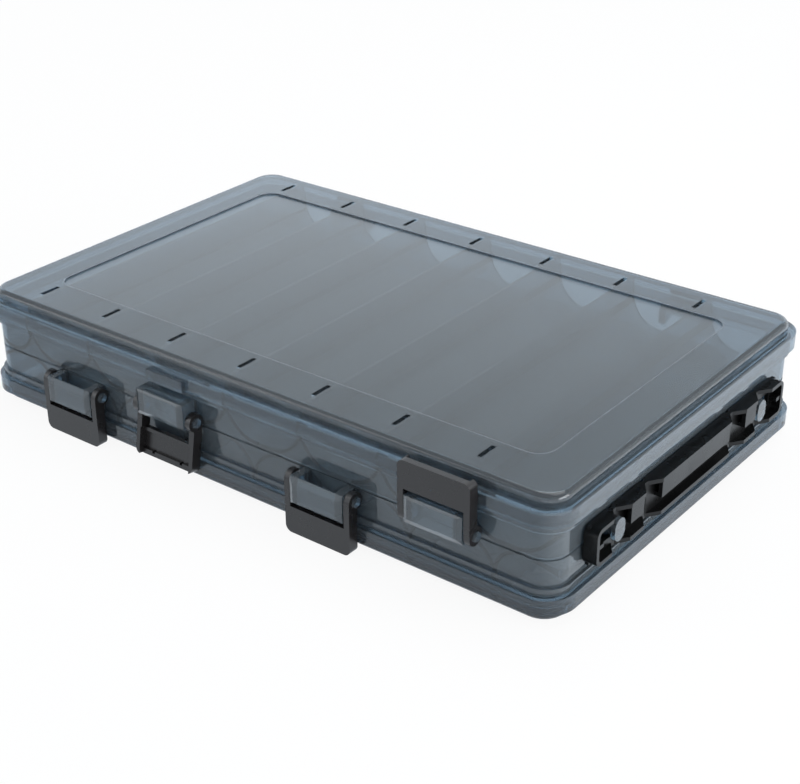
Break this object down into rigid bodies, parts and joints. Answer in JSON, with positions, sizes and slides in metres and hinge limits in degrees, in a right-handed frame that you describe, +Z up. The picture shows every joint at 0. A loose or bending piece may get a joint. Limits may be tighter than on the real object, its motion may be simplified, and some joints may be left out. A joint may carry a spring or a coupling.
{
  "type": "double-sided lure box",
  "caption": "Flat reversible lure box in smoke-grey clear plastic with a lid on each face, black side latches and a black strap handle on one end.",
  "frame": {"origin": "bottom centre of the whole part's bounding box, on the table", "axes": "+X towards the handle, -Y towards the latches, +Z up"},
  "size_m": [0.273, 0.1822, 0.047],
  "materials": {
    "smoke_plastic": "translucent smoke grey, moulded",
    "smoke_clear": "translucent smoke grey, polished",
    "latch_plastic": "black, semi-gloss",
    "handle_plastic": "black, fine satin",
    "pin_steel": "drawn wire"
  },
  "bodies": {
    "case": {"upper_tray": "smoke_plastic", "lower_tray": "smoke_plastic", "hinge_pin_top_left": "pin_steel", "hinge_pin_top_right": "pin_steel", "hinge_pin_bottom_left": "pin_steel", "hinge_pin_bottom_right": "pin_steel"},
    "top_lid": {"top_lid": "smoke_clear"},
    "bottom_lid": {"bottom_lid": "smoke_clear"},
    "latch_left_top": {"latch_left_top": "latch_plastic"},
    "latch_right_top": {"latch_right_top": "latch_plastic"},
    "latch_left_bottom": {"latch_left_bottom": "latch_plastic"},
    "latch_right_bottom": {"latch_right_bottom": "latch_plastic"},
    "handle_grip": {"handle_grip": "handle_plastic"},
    "handle_link_near": {"handle_link_near": "handle_plastic"},
    "handle_link_far": {"handle_link_far": "handle_plastic"},
    "handle_end_near": {"handle_end_near": "handle_plastic"},
    "handle_end_far": {"handle_end_far": "handle_plastic"}
  },
  "joints": [
    {"name": "top_lid_hinge", "type": "hinge", "parent": "case", "child": "top_lid", "pos_m": [-0.0015, 0.0879, 0.0332], "axis": [-1, 0, 0], "range_deg": [0, 130]},
    {"name": "bottom_lid_hinge", "type": "hinge", "parent": "case", "child": "bottom_lid", "pos_m": [-0.0015, 0.0879, 0.0138], "axis": [1, 0, 0], "range_deg": [0, 130]},
    {"name": "latch_left_top_pivot", "type": "hinge", "parent": "case", "child": "latch_left_top", "pos_m": [-0.0325, -0.0866, 0.0263], "axis": [1, 0, 0], "range_deg": [-170, 0]},
    {"name": "latch_right_top_pivot", "type": "hinge", "parent": "case", "child": "latch_right_top", "pos_m": [0.0895, -0.0866, 0.0263], "axis": [1, 0, 0], "range_deg": [0, 170]},
    {"name": "latch_left_bottom_pivot", "type": "hinge", "parent": "case", "child": "latch_left_bottom", "pos_m": [-0.082, -0.0866, 0.0207], "axis": [-1, 0, 0], "range_deg": [0, 170]},
    {"name": "latch_right_bottom_pivot", "type": "hinge", "parent": "case", "child": "latch_right_bottom", "pos_m": [0.0405, -0.0866, 0.0207], "axis": [-1, 0, 0], "range_deg": [0, 170]},
    {"name": "handle_pull", "type": "slide", "parent": "case", "child": "handle_grip", "axis": [1, 0, 0], "range_m": [0, 0.0153]},
    {"name": "link_near_flex", "type": "hinge", "parent": "handle_grip", "child": "handle_link_near", "pos_m": [0.1325, -0.0318, 0.0235], "axis": [0, 0, -1], "range_deg": [0, 48]},
    {"name": "end_near_flex", "type": "hinge", "parent": "handle_link_near", "child": "handle_end_near", "pos_m": [0.1325, -0.0518, 0.0235], "axis": [0, 0, 1], "range_deg": [0, 48]},
    {"name": "link_far_flex", "type": "hinge", "parent": "handle_grip", "child": "handle_link_far", "pos_m": [0.1325, 0.0276, 0.0235], "axis": [0, 0, 1], "range_deg": [0, 48]},
    {"name": "end_far_flex", "type": "hinge", "parent": "handle_link_far", "child": "handle_end_far", "pos_m": [0.1325, 0.0476, 0.0235], "axis": [0, 0, -1], "range_deg": [0, 48]}
  ],
  "couplings": [
    {"joint": "link_near_flex", "follows": "handle_pull", "rad_per_m": 54.641},
    {"joint": "end_near_flex", "follows": "handle_pull", "rad_per_m": 54.641},
    {"joint": "link_far_flex", "follows": "handle_pull", "rad_per_m": 54.641},
    {"joint": "end_far_flex", "follows": "handle_pull", "rad_per_m": 54.641}
  ]
}
